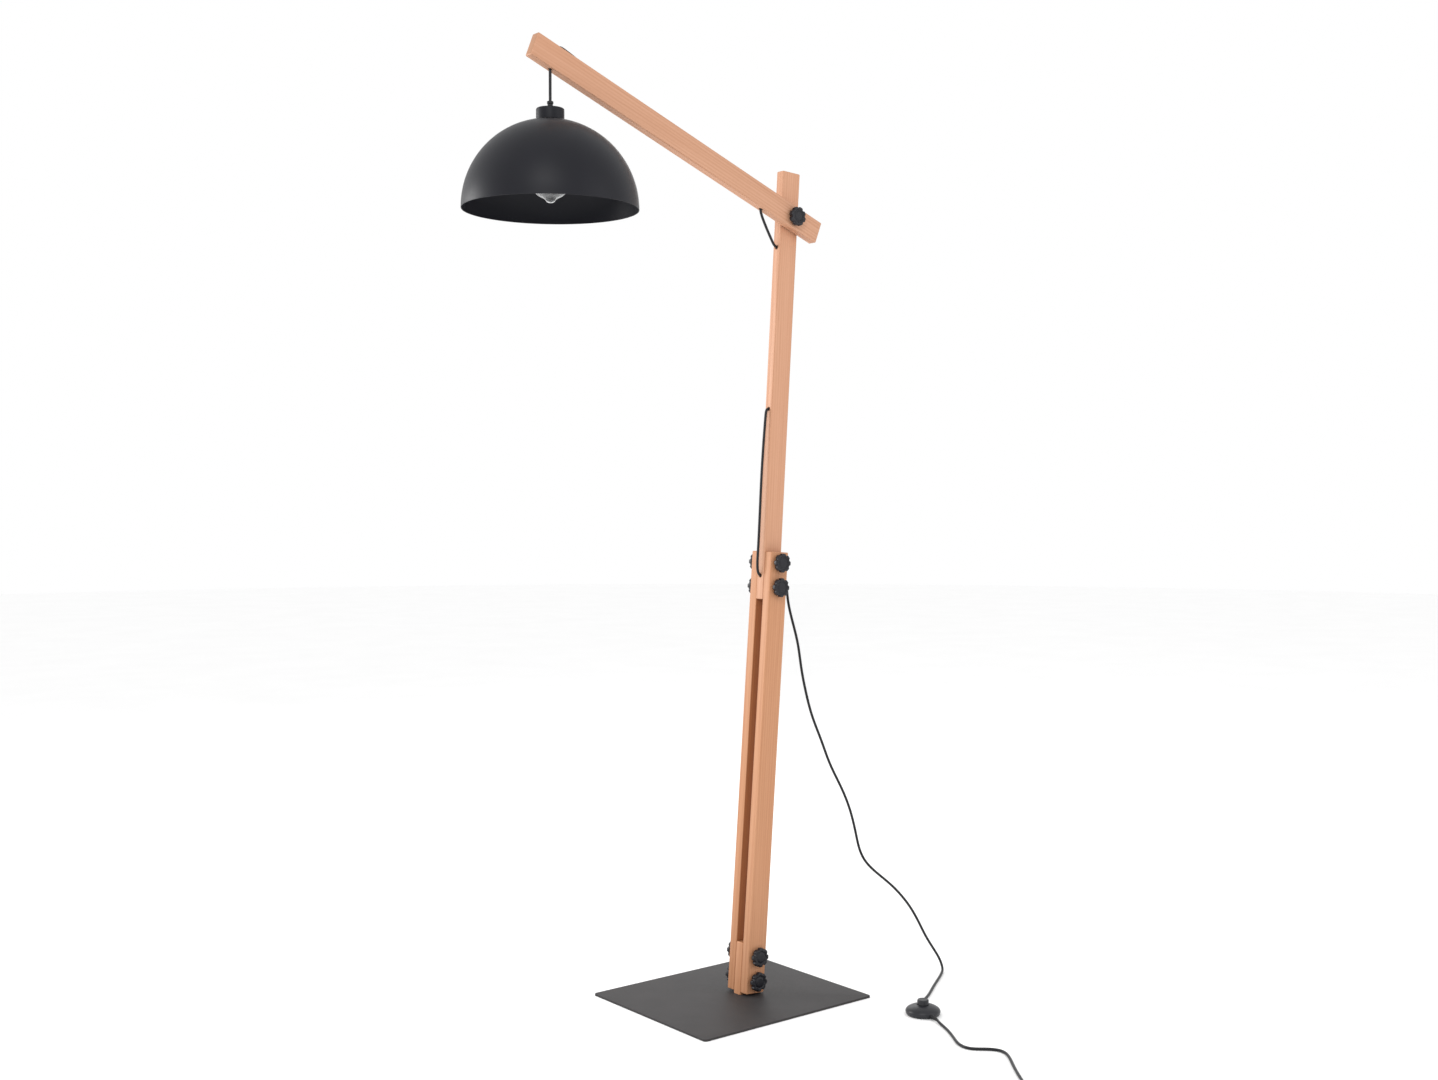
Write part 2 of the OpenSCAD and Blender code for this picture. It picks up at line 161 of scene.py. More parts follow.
def wood(name, axis, seed, tone=(1, 1, 1), gap_shade=None):
    """Oiled softwood, its grain along the board's own axis ('Z' or 'X')."""
    M = Mat(name)
    long = 2 if axis == "Z" else 0

    def sc(across, along):
        s = [across, across, across]
        s[long] = along
        return s

    off = (seed * 0.37, seed * 0.61, seed * 1.93)
    # rings: slow bands across the face that wander along the board
    drift = M.noise(M.mapped(sc(9, 1.1), off), 1.0, 3, 0.5, 0.4)
    sep = M.n("ShaderNodeSeparateXYZ")
    M.link(M.co, sep.inputs[0])
    across = M.math("ADD", sep.outputs["Z" if axis == "X" else "X"], M.math("MULTIPLY", sep.outputs["Y"], 0.55))
    phase = M.math("ADD", M.math("MULTIPLY", across, 1050), M.math("MULTIPLY", drift, 26))
    rings = M.span(M.math("SINE", phase), 0, 1, -1, 1)
    rings = M.math("POWER", rings, 2.2)
    streak = M.noise(M.mapped(sc(260, 4.5), off), 1.0, 6, 0.62, 0.25)
    fine = M.noise(M.mapped(sc(1500, 26), off), 1.0, 4, 0.6)
    cloud = M.noise(M.mapped(sc(14, 2.0), off), 1.0, 3, 0.5)
    f = M.math("ADD", M.math("MULTIPLY", rings, 0.26), M.math("MULTIPLY", M.span(streak, 0, 1, 0.25, 0.75), 0.5))
    f = M.math("ADD", f, M.math("MULTIPLY", M.span(fine, 0, 1, 0.3, 0.7), 0.14), True)

    def T(r, g, b):
        return (r * tone[0], g * tone[1], b * tone[2])

    c = M.ramp(f, [(0.08, T(0.615, 0.352, 0.226)), (0.45, T(0.545, 0.295, 0.178)), (0.95, T(0.415, 0.196, 0.104))])
    c = M.mix(M.span(cloud, 0.0, 0.5, 0.3, 0.75), c, T(0.53, 0.268, 0.153))
    # short dark pores
    pore = M.noise(M.mapped(sc(2600, 95), off), 1.0, 2, 0.5)
    pore = M.span(pore, 0, 0.5, 0.66, 0.78)
    c = M.mix(pore, c, T(0.29, 0.128, 0.064))
    # end grain is darker, with the rings seen end on
    nrm = M.n("ShaderNodeTexCoord")
    sn = M.n("ShaderNodeSeparateXYZ")
    M.link(nrm.outputs["Normal"], sn.inputs[0])
    end = M.math("GREATER_THAN", M.math("ABSOLUTE", sn.outputs["XYZ"[long]]), 0.9)
    rg = M.span(M.math("SINE", M.math("MULTIPLY", across, 2400)), 0, 1, -1, 1)
    ec = M.mix(M.math("MULTIPLY", rg, 0.5), T(0.47, 0.25, 0.142), T(0.33, 0.155, 0.078))
    c = M.mix(end, c, ec)
    if gap_shade:
        # painted shade: the face towards the other leg is darkened to stand in for the shade in the gap between the
        # legs
        c = M.mix(M.math("LESS_THAN", sn.outputs["Y"], -0.9), c, M.mix(1.0, c, gap_shade, "MULTIPLY"))
    M.link(c, M.b.inputs["Base Color"])
    M.link(M.span(streak, 0.44, 0.62), M.b.inputs["Roughness"])
    M.bump(M.math("ADD", M.math("MULTIPLY", streak, 0.6), M.math("MULTIPLY", fine, 0.4)), 0.30, 0.00009)
    M.set(Specular_IOR_Level=0.35)
    return M.m


def coat(name, rgb, rough, grain=1300, bump=0.00012, var=0.12, metal=0.0, spec=0.5, edge_wear_and_shade=None):
    """Paint, plastic or metal: fine skin, uneven tone, edges recoloured: worn and lighter on most finishes, a darker
    line of painted shade on the plate.
    """
    M = Mat(name)
    v = M.mapped((1, 1, 1))
    big = M.noise(v, 18, 3)
    small = M.noise(v, grain, 3, 0.6)
    lo = tuple(x * (1 - var) for x in rgb)
    hi = tuple(min(1, x * (1 + var)) for x in rgb)
    c = M.ramp(M.math("ADD", M.math("MULTIPLY", big, 0.7), M.math("MULTIPLY", small, 0.3)), [(0.32, lo), (0.68, hi)])
    # edge colour on convex edges: real wear where it is lighter, painted shade where it is darker (the plate)
    if edge_wear_and_shade:
        g = M.n("ShaderNodeNewGeometry")
        edge = M.span(g.outputs["Pointiness"], 0, 0.8, 0.52, 0.60)
        edge = M.math("MULTIPLY", edge, M.span(M.noise(v, 160, 4), 0, 1, 0.42, 0.62))
        c = M.mix(edge, c, edge_wear_and_shade)
    M.link(c, M.b.inputs["Base Color"])
    M.link(M.span(small, max(0, rough - 0.06), min(1, rough + 0.07), 0.3, 0.7), M.b.inputs["Roughness"])
    M.bump(M.math("ADD", small, M.math("MULTIPLY", big, 0.15)), 0.5, bump)
    M.set(Metallic=metal, Specular_IOR_Level=spec)
    return M.m


# the legs and the spacer get a darker, warmer tone than the post and arm: painted shade on the lower boards and in the
# gap between the legs
W_FRONT = wood("wood_front_leg", "Z", 1.0, (0.895, 0.795, 0.68))
# the rear leg's last colour is painted shade, multiplied onto its face towards the front leg
W_REAR = wood("wood_rear_leg", "Z", 2.3, (0.875, 0.76, 0.63), (0.66, 0.54, 0.42))
W_POST = wood("wood_upper_post", "Z", 3.1, (0.985, 0.955, 0.955))
W_ARM = wood("wood_arm", "X", 4.7, (0.93, 0.90, 0.90))
W_BLOCK = wood("wood_spacer", "Z", 5.9, (0.86, 0.74, 0.60))
# the plate's edge colour is darker than its face: painted shade along the plate's edges
PLATE = coat("plate_powder_coat", (0.0365, 0.0335, 0.0340), 0.60, 1500, 0.00016, 0.10, 0, 0.26, (0.018, 0.017, 0.017))
SHADEM = coat("shade_powder_coat", (0.0085, 0.0088, 0.0125), 0.44, 1100, 0.00007, 0.10, 0, 0.20, (0.028, 0.029, 0.033))
KNOB = coat("knob_plastic", (0.0105, 0.0103, 0.0140), 0.42, 900, 0.00010, 0.16, 0, 0.32, (0.05, 0.05, 0.054))
BLACK = coat("black_plastic", (0.010, 0.0102, 0.0125), 0.46, 1000, 0.00008, 0.16, 0, 0.32)
SWITCH = coat("switch_plastic", (0.0135, 0.0138, 0.0175), 0.36, 800, 0.00006, 0.12, 0, 0.36, (0.032, 0.033, 0.038))
CABLE = coat("cable_sheath", (0.0075, 0.0077, 0.0095), 0.42, 1600, 0.00006, 0.2, 0, 0.30)
ZINC = coat("zinc_steel", (0.60, 0.60, 0.60), 0.30, 700, 0.00005, 0.08, 1.0)
OXIDE = coat("black_oxide", (0.035, 0.035, 0.037), 0.42, 900, 0.00006, 0.15, 0.6)
NICKEL = coat("nickel", (0.72, 0.71, 0.68), 0.20, 500, 0.00003, 0.06, 1.0)
CREAM = coat("ceramic_block", (0.62, 0.58, 0.48), 0.5, 500, 0.00008, 0.06)
FILAMENT = coat("filament", (0.70, 0.50, 0.17), 0.5, 2500, 0.00008, 0.12)

G = Mat("bulb_clear_glass")
gv = G.noise(G.mapped((1, 1, 1)), 35, 2)
G.link(G.ramp(gv, [(0.3, (0.93, 0.95, 0.96)), (0.7, (0.97, 0.98, 0.985))]), G.b.inputs["Base Color"])
G.link(G.span(G.noise(G.mapped((1, 1, 1)), 220, 2), 0.02, 0.06, 0.3, 0.7), G.b.inputs["Roughness"])
G.set(IOR=1.46, Transmission_Weight=1.0)
GLASS = G.m

# ------------------------------------------------------------------ mesh helpers
def add(name, verts, faces, mat, mtx=None, smooth=True, sharp=35):
    me = bpy.data.meshes.new(name)
    me.from_pydata([tuple(v) for v in verts], [], faces)
    bm = bmesh.new()
    bm.from_mesh(me)
    bmesh.ops.remove_doubles(bm, verts=bm.verts, dist=1e-7)
    bmesh.ops.recalc_face_normals(bm, faces=bm.faces)
    for f in bm.faces:
        f.smooth = smooth
    for e in bm.edges:
        if len(e.link_faces) == 2 and e.calc_face_angle(0) > math.radians(sharp):
            e.smooth = False
    bm.to_mesh(me)
    bm.free()
    me.materials.append(mat)
    o = bpy.data.objects.new(name, me)
    COL.objects.link(o)
    if mtx is not None:
        o.matrix_world = mtx
    return o


def fillet(pts, rad, n=4):
    """Rounds a profile's inner corners: rad is one radius, or one for each point."""
    out = []
    m = len(pts)
    for i, p in enumerate(pts):
        r = rad if isinstance(rad, (int, float)) else rad[i]
        if i in (0, m - 1) or r <= 0:
            out.append(p)
            continue
        a, b = Vector(pts[i - 1]), Vector(pts[i + 1])
        p = Vector(p)
        u, v = (a - p), (b - p)
        k = min(r, u.length * 0.49, v.length * 0.49)
        s, e = p + u.normalized() * k, p + v.normalized() * k
        for j in range(n + 1):
            t = j / n
            q = s * (1 - t) ** 2 + p * 2 * t * (1 - t) + e * t * t
            out.append((q.x, q.y))
    return out


def lathe(name, prof, mat, mtx, seg=64, rfun=None, close=False, sharp=35):
    """Revolves (r, z) points, in mm. rfun(angle, r, z) changes the radius."""
    V, F = [], []
    idx = []
    for r, z in prof:
        if r < 1e-6:
            idx.append([len(V)] * seg)
            V.append((0, 0, z * MM))
        else:
            row = []
            for k in range(seg):
                a = 2 * math.pi * k / seg
                q = (rfun(a, r, z) if rfun else r) * MM
                row.append(len(V))
                V.append((q * math.cos(a), q * math.sin(a), z * MM))
            idx.append(row)
    pairs = list(zip(idx[:-1], idx[1:])) + ([(idx[-1], idx[0])] if close else [])
    for a, b in pairs:
        for k in range(seg):
            k2 = (k + 1) % seg
            f = []
            for q in (a[k], a[k2], b[k2], b[k]):
                if q not in f:
                    f.append(q)
            if len(f) > 2:
                F.append(f)
    return add(name, V, F, mat, mtx, True, sharp)


def cut(o, cutters):
    """Takes the cutters out of o for good."""
    for c in cutters:
        md = o.modifiers.new("cut", "BOOLEAN")
        md.operation, md.solver, md.object = "DIFFERENCE", "EXACT", c
    bpy.context.view_layer.update()
    dg = bpy.context.evaluated_depsgraph_get()
    me = bpy.data.meshes.new_from_object(o.evaluated_get(dg))
    o.modifiers.clear()
    old = o.data
    o.data = me
    bpy.data.meshes.remove(old)
    for c in cutters:
        bpy.data.objects.remove(c)
    bm = bmesh.new()
    bm.from_mesh(me)
    for f in bm.faces:
        f.smooth = True
    for e in bm.edges:
        e.smooth = not (len(e.link_faces) == 2 and e.calc_face_angle(0) > math.radians(28))
    bm.to_mesh(me)
    bm.free()
    return o


def block(name, lo, hi, mat, mtx, r=2.0, seg=4):
    bm = bmesh.new()
    bmesh.ops.create_cube(bm, size=1)
    for v in bm.verts:
        for i in range(3):
            v.co[i] = (lo[i] if v.co[i] < 0 else hi[i]) * MM
    if r:
        bmesh.ops.bevel(bm, geom=list(bm.edges), offset=r * MM, segments=seg, profile=0.5, affect="EDGES")
    for f in bm.faces:
        f.smooth = True
    for e in bm.edges:
        e.smooth = not (len(e.link_faces) == 2 and e.calc_face_angle(0) > math.radians(35))
    me = bpy.data.meshes.new(name)
    bm.to_mesh(me)
    bm.free()
    me.materials.append(mat)
    o = bpy.data.objects.new(name, me)
    COL.objects.link(o)
    o.matrix_world = mtx
    return o


def drill(p, axis, r, depth, mtx, seg=48, flare=0.8):
    """A hole's cutter with a small broken edge at both mouths; p in mm, in mtx's frame."""
    rot = {"X": Matrix.Rotation(math.pi / 2, 4, "Y"), "Y": Matrix.Rotation(math.pi / 2, 4, "X"), "Z": Matrix.Identity(4)}[axis]
    h = depth / 2
    prof = [(0, -h - 5), (r + flare + 4, -h - 5), (r + flare, -h), (r, -h + flare), (r, h - flare), (r + flare, h), (r + flare + 4, h + 5), (0, h + 5)]
    return lathe("cutter", prof, W_POST, mtx @ Matrix.Translation(Vector(p) * MM) @ rot, seg)


def spline(P, n):
    P = np.array(P, float)
    Q = np.vstack([2 * P[0] - P[1], P, 2 * P[-1] - P[-2]])
    out = []
    for i in range(1, len(Q) - 2):
        a, b, c, d = Q[i - 1 : i + 3]
        for k in range(n):
            t = k / n
            out.append((a * (1 - t) ** 3 + b * (3 * t**3 - 6 * t * t + 4) + c * (-3 * t**3 + 3 * t * t + 3 * t + 1) + d * t**3) / 6)
    out.append(P[-1])
    return np.array(out)


def wire(name, P, d, mat, mtx=None, res=8, ring=3):
    """A cord as a curve: the same smooth line as the solid's, as Bezier spans. P and d in mm."""
    cu = bpy.data.curves.new(name, "CURVE")
    cu.dimensions = "3D"
    cu.bevel_depth, cu.bevel_resolution, cu.resolution_u, cu.use_fill_caps = d / 2 * MM, ring, res, True
    P = np.array(P, float) * MM
    Q = np.vstack([2 * P[0] - P[1], P, 2 * P[-1] - P[-2]])
    s = cu.splines.new("BEZIER")
    s.bezier_points.add(len(P) - 1)
    for i in range(len(P)):
        a, b, c = Q[i], Q[i + 1], Q[i + 2]
        p = s.bezier_points[i]
        p.handle_left_type = p.handle_right_type = "FREE"
        p.co = (a + 4 * b + c) / 6
        p.handle_left, p.handle_right = (a + 2 * b) / 3, (2 * b + c) / 3
    cu.materials.append(mat)
    o = bpy.data.objects.new(name, cu)
    COL.objects.link(o)
    if mtx is not None:
        o.matrix_world = mtx
    return o


def tube(name, P, d, mat, sides=20, n=6, bulge_ends=False):
    """A cord as a mesh. P in mm, in the row frame."""
    c = spline(P, n)
    t = np.gradient(c, axis=0)
    t /= np.linalg.norm(t, axis=1)[:, None]
    u = np.cross(t[0], [0, 1, 0])
    V, F = [], []
    for i in range(len(c)):
        u = u - t[i] * (u @ t[i])
        u /= np.linalg.norm(u)
        w = np.cross(t[i], u)
        for k in range(sides):
            a = 2 * math.pi * k / sides
            V.append((c[i] + d / 2 * (math.cos(a) * u + math.sin(a) * w)) * MM)
    m = len(c)
    for i in range(m - 1):
        for k in range(sides):
            k2 = (k + 1) % sides
            F.append([i * sides + k, (i + 1) * sides + k, (i + 1) * sides + k2, i * sides + k2])
    F.append(list(range(sides)))
    F.append([(m - 1) * sides + k for k in range(sides)][::-1])
    return add(name, V, F, mat, None, True, 60), c


def put(o, body, *nodes, slot=None):
    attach(o, body)
    if nodes:
        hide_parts(*nodes)
    return o


# ------------------------------------------------------------------ cords first
FLOOR = [[108.3, -3.4, 792.2], [111, -3.4, 792.2], [119.4, -3.4, 790.9], [127, -3.4, 786.3], [131.6, -3.5, 779], [133.2, -3.9, 770], [133, -4.6, 759],
  [134, -7, 737], [142, -10.5, 703], [153.5, -14.8, 660], [158, -17, 613], [167, -21, 566], [179, -25, 518], [198, -33, 471], [213, -39, 423], [238, -49, 375],
  [256, -56, 327], [266, -60, 279], [276, -65, 226], [335, -89, 181], [376, -106, 128], [398, -115, 78], [411.5, -119.6, 55.5], [420.4, -122.6, 41.5], [428.9, -125, 28.3],
  [432.4, -128.3, 18.7], [431.4, -134, 10], [426.2, -140.7, 4.2], [417.6, -147.2, 2.6], [398, -161.4, 2.6],
  [366, -182, 2.6], [326, -208, 2.6], [292, -232, 2.6], [262, -249, 2.6], [246, -256, 4], [233.6, -263.2, 5]]
WALL = [[190.2, -349, 5], [186, -358, 3.6], [180, -372, 2.6], [170, -394, 2.6], [149, -428, 2.6], [126, -460, 2.6], [126, -488, 2.6],
  [150, -503, 2.6], [166, -526, 2.6], [152, -552, 2.6], [124, -584, 2.6], [88, -630, 2.6], [54, -680, 2.6]]
COIL = (7.6, -696)


def ease(x, a, b):
    t = min(1, max(0, (x - a) / (b - a)))
    return t * t * (3 - 2 * t)


for k in range(0, 80):
    f = k * 15.0
    if f > 1173.6:
        break
    r = 30 - 5 * ease(f, 290, 350) + 2.5 * ease(f, 670, 760)
    z = 2.6 + 4.7 * ease(f, 585, 655)
    a = math.radians(-35.4 - f)
    WALL.append([COIL[0] + r / 0.9886 * math.cos(a), COIL[1] + r / 0.9886 * math.sin(a), z])
WALL += [[-10.6, -716.7, 7.6], [-17, -711.5, 7.9], [-25, -705, 7.5], [-34, -697.7, 6.6], [-44, -689.6, 6.4]]

lead = put(wire("lead_to_switch", FLOOR, 5, CABLE, None, 8, 5), "stand", "floor_lead", slot="cable_sheath")
wall = put(wire("lead_to_plug", WALL, 5, CABLE, None, 6, 5), "stand", "wall_lead", "lead_coil", "lead_tail", slot="cable_sheath")

# ------------------------------------------------------------------ stand
def base_plate():
    r0, w, d = 6.0, 200, 170
    def ring(inset, z):
        r = max(0.4, r0 - inset)
        pts = []
        for sx, sy, a0 in ((1, 1, 0), (-1, 1, 90), (-1, -1, 180), (1, -1, 270)):
            for j in range(9):
                a = math.radians(a0 + j * 90 / 8)
                pts.append(((sx * (w - r0) + r * math.cos(a)) * MM, (sy * (d - r0) + r * math.sin(a)) * MM, z * MM))
        return pts
    levels = [(0.5, 0), (0.15, 0.15), (0, 0.5), (0, 3.3), (0.12, 3.7), (0.5, 3.95), (0.8, 4.0)]
    V, F = [], []
    for i, z in levels:
        V += ring(i, z)
    n = 36
    for l in range(len(levels) - 1):
        for k in range(n):
            F.append([l * n + k, l * n + (k + 1) % n, (l + 1) * n + (k + 1) % n, (l + 1) * n + k])
    F.append(list(range(n))[::-1])
    F.append([(len(levels) - 1) * n + k for k in range(n)])
    o = add("base_plate_skin", V, F, PLATE, Matrix.Identity(4), True, 40)
    cs = [lathe("cutter", [(0, -2), (5.2, -2), (5.2, 0.2), (2.7, 3), (2.7, 6), (0, 6)], PLATE, Matrix.Translation((x * MM, -3.4 * MM, 0)), 48) for x in (18, 44)]
    return cut(o, cs)


put(base_plate(), "stand", "base_plate", slot="plate_coat")
BZ = [31, 77, 775, 821.5]


def leg(name, y0, mat):
    o = block(name, (-21.25, y0, 7.2), (21.25, y0 + 19, 842.2), mat, LEG)
    return cut(o, [drill((0, y0 + 9.5, z), "Y", 4.08, 19, LEG, 48, 0.4) for z in BZ])


put(leg("front_leg_board", -28.5, W_FRONT), "stand", "front_leg", slot="timber")
put(leg("rear_leg_board", 9.5, W_REAR), "stand", "rear_leg", slot="timber")
o = block("spacer_board", (-21.25, -9.45, -8), (21.25, 9.45, 100.5), W_BLOCK, LEG)
put(cut(o, [block("cutter", (-200, -100, -60), (200, 100, 4), W_BLOCK, Matrix.Identity(4), 0)]), "stand", "spacer_block", slot="timber")
o = block("upper_post_board", (-21.25, -9.45, -51), (21.25, 9.45, 766), W_POST, POST)
cs = [drill((0, 0, z), "X", 3.5, 42.5, POST) for z in (620, 311.5, -6.4)]
cs.append(block("cutter", (15.25, -3.25, 311.5), (26, 3.25, 620), W_POST, POST, 0))
cs.append(drill((126 - 0, 0, 1476), "Y", 4.08, 19, Matrix.Translation((0, -3.4 * MM, 0)), 48, 0.4))
put(cut(o, cs), "stand", "upper_post", slot="timber")


def washer(name, mtx, r=9.0, t=1.2):
    p = fillet([(4.3, t / 2), (4.3, 0), (r, 0), (r, t), (4.3, t), (4.3, t / 2)], 0.3, 3)
    return lathe(name, p, OXIDE, mtx, 64, None, False, 50)


FRONT = Matrix.Rotation(math.pi / 2, 4, "X")
BACK = Matrix.Rotation(-math.pi / 2, 4, "X")


def at(frame_m, x, y, z, rot):
    return frame_m @ Matrix.Translation((x * MM, y * MM, z * MM)) @ rot


def star(a, r, z):
    """Eight rounded lobes with scallops between them, fading towards the middle."""
    if r < 10.4:
        return r
    best = r
    for k in range(8):
        c = math.radians(k * 45 + 22.5)
        d = a - c
        cx = 19.5
        s = cx * math.sin(d)
        q = 16 - s * s
        if math.cos(d) > 0 and q > 0:
            hit = cx * math.cos(d) - math.sqrt(q)
            best = min(best, hit - (18 - r) * 0.75)
    return max(10.4, best)


def knob(name, mtx, nut=False):
    bore = 4.15 if nut else 0
    head = [(10, 2.6), (12.5, 2.6), (16.9, 2.7), (17.7, 3.4), (18, 4.4), (18, 9.6), (17.7, 10.7), (16.8, 11.4), (15.2, 11.6), (13.2, 11.55), (12.6, 10.5), (11.4, 10.0)]
    if nut:
        prof = [(bore, 11.0), (bore, 0.1), (bore + 0.2, 0), (9.6, 0), (10, 0.4)] + head + [(9.6, 10.0), (8.4, 10.7), (7.4, 11.3), (5.2, 11.4), (bore + 0.3, 11.3), (bore, 11.0)]
    else:
        prof = [(0, 0), (9.6, 0), (10, 0.4)] + head + [(9.8, 10.0), (8.8, 10.7), (7.6, 11.4), (6.4, 11.5), (3, 11.56), (0, 11.58)]
    return lathe(name, prof, KNOB, mtx, 192, star, False, 42)


def bolt(name, mtx, L):
    """Plain shank, then rolled thread to a chamfered tip, from z = 0 (tip) to L."""
    p = [(0, 0), (3.1, 0), (3.9, 0.8)]
    z = 0.8
    while z < 24:
        p += [(3.98, z + 0.25), (3.45, z + 0.62), (3.98, z + 1.0)]
        z += 1.25
    p += [(4.0, z + 0.3), (4.0, L), (0, L)]
    return lathe(name, p, ZINC, mtx, 40, None, False, 20)


NAMES = ["base_%s_lower", "base_%s_upper", "clamp_%s_lower", "clamp_%s_upper"]
W_LIST = []
for nm, z in zip(NAMES, BZ):
    k, b, n = nm % "knob", nm % "bolt", nm % "nut"
    put(knob(k + "_star", at(LEG, 0, -29.9, z, FRONT)), k, k, slot="knob_plastic")
    put(bolt(b + "_rod", at(LEG, 0, 39.7, z, FRONT), 77.9), k, b, slot="zinc_steel")
    put(knob(n + "_star", at(LEG, 0, 29.9, z, BACK), True), n, n, slot="knob_plastic")
    W_LIST.append(washer(nm % "washer" + "_front", at(LEG, 0, -28.5, z, FRONT)))
    W_LIST.append(washer(nm % "washer" + "_rear", at(LEG, 0, 28.5, z, BACK)))
for i, w in enumerate(W_LIST):
    if i == 0:
        put(w, "stand", "leg_washers", slot="black_washer")
    else:
        put(w, "stand", slot="black_washer")

# ------------------------------------------------------------------ arm
o = block("arm_board", (-623, -9.5, -21), (66.5, 9.5, 21), W_ARM, ARM)
cs = [drill((x, 0, 0), "Z", 3.5, 42, ARM) for x in (-576, -74)]
cs.append(block("cutter", (-576, -3.25, 15), (-74, 3.25, 30), W_ARM, ARM, 0))
cs.append(drill((0, 0, 0), "Y", 4.08, 19, ARM, 48, 0.4))
put(cut(o, cs), "arm", "arm_beam", slot="timber")
put(knob("arm_knob_star", at(ARM, 0, -10.9, 0, FRONT)), "arm_knob", "arm_knob", slot="knob_plastic")
put(bolt("arm_bolt_rod", at(ARM, 0, 40.9, 0, FRONT), 60.1), "arm_knob", "arm_bolt", slot="zinc_steel")
def hexnut(a, r, z):
    d = (a + math.pi / 6) % (math.pi / 3) - math.pi / 6
    return r if r < 4.6 else min(r, 6.5 / math.cos(d))


p = [(4.12, 3), (4.12, 0.5), (4.5, 0), (6.4, 0), (7.5, 0.62), (7.5, 5.88), (6.4, 6.5), (4.5, 6.5), (4.12, 6), (4.12, 3)]
put(lathe("arm_nut_hexagon", p, OXIDE, at(ARM, 0, 31.1, 0, BACK), 96, hexnut, False, 25), "arm_nut", "arm_nut", slot="black_washer")
put(washer("arm_washer_front", at(ARM, 0, -9.5, 0, FRONT)), "arm", "arm_face_washer", slot="black_washer")
ROOT = Matrix.Identity(4)
put(washer("arm_washer_between", at(ROOT, 126, -12.9, 1476, FRONT), 14, 1.0), "stand", "arm_washer", slot="black_washer")
put(washer("arm_washer_rear", at(ROOT, 126, 6.1, 1476, BACK)), "stand", "arm_rear_washer", slot="black_washer")

tip = (ARM.inverted() @ Vector((PX * MM, -23.6 * MM, PZ * MM))) * 1000
ARM_R = [[tip.x, 0, tip.z], [-576.4, 0, -21], [-576, 0, -14], [-576, 0, 0], [-576, 0, 10], [-576, 0, 18.5], [-573.5, 0, 23.5], [-567, 0, 24.6],
  [-556, 0, 24], [-542, 0, 23.2], [-528, 0, 21.2], [-512, 0, 18.4], [-492, 0, 17.8], [-400, 0, 17.8], [-260, 0, 17.8], [-140, 0, 17.8],
  [-102, 0, 17.8], [-86, 0, 17.8], [-74, 0, 17.8], [-74, 0, 6], [-74, 0, -8], [-74, 0, -20]]
put(wire("arm_cable_run", ARM_R, 5, CABLE, ARM, 8, 5), "arm", "arm_cable", slot="cable_sheath")

# ------------------------------------------------------------------ pendant and shade
def ball(r, z0, up, n=6):
    return [(r * math.cos(math.radians(a)), z0 + up * r * math.sin(math.radians(a))) for a in np.linspace(0, 90, n)]


prof = [(0, -2.5)] + ball(2.5, 0, -1)[::-1][1:] + [(2.5, 12), (2.5, 24), (2.5, 36)] + ball(2.5, 47, 1)[:-1] + [(0, 49.5)]
put(lathe("pendant_lead", prof, CABLE, place(PX, -23.6, PZ - 47, 0), 28, None, False, 70), "pendant", "pendant_cable", slot="cable_sheath")
stub = [(0, -6)] + [(2.5, -6), (2.5, -1)] + ball(2.5, 3, 1)[:-1] + [(0, 5.5)]
put(lathe("lead_stub", stub, CABLE, SHADE, 28, None, False, 70), "shade", slot="cable_sheath")
grip = fillet([(2.6, -1.2), (2.6, 0), (4.9, 0), (5.5, -0.7), (5.5, -4), (4.5, -4.7), (4.5, -7.1), (5.5, -7.8), (5.5, -11.6), (5.0, -12), (5, -17), (0, -17)], 0.4, 3)
put(lathe("cord_grip_screw", [(0, -1.2)] + grip, BLACK, SHADE, 96, lambda a, r, z: r * (1 + 0.02 * math.cos(12 * a)) if -10.8 < z < -4 else r, False, 45), "shade", "cord_grip", slot="black_plastic")
cap = fillet([(22.9, -24), (22.9, -32.1), (23.4, -32.4), (24, -32.0), (24, -12.1), (6.4, -12.05), (5.3, -12.3), (5.3, -13.8), (22.5, -13.8), (22.9, -24)],
  [0, 0.2, 0.3, 0.3, 3.0, 0.4, 0.3, 0.3, 2, 0], 8)
put(lathe("shade_cap_cup", cap, SHADEM, SHADE, 128, None, False, 40), "shade", "shade_cap", slot="shade_coat")


def dome():
    R, t = 150.5, 1.0
    DOWN = -181.4
    p = []
    a1 = math.degrees(math.acos(20.3 / R))
    for a in np.linspace(a1, 0.4, 60):
        p.append((R * math.cos(math.radians(a)), DOWN + R * math.sin(math.radians(a))))
    # a small rolled lip at the rim
    p += [(R + 0.05, DOWN + 0.2), (R + 0.12, DOWN - 0.35), (R - 0.1, DOWN - 0.8), (R - 0.5, DOWN - 0.95), (R - t + 0.05, DOWN - 0.8), (R - t - 0.1, DOWN - 0.35)]
    for a in np.linspace(0.4, math.degrees(math.acos(20.3 / (R - t))), 60):
        p.append(((R - t) * math.cos(math.radians(a)), DOWN + (R - t) * math.sin(math.radians(a))))
    p.append(p[0])
    return lathe("shade_dome", p, SHADEM, SHADE, 160, None, False, 55)


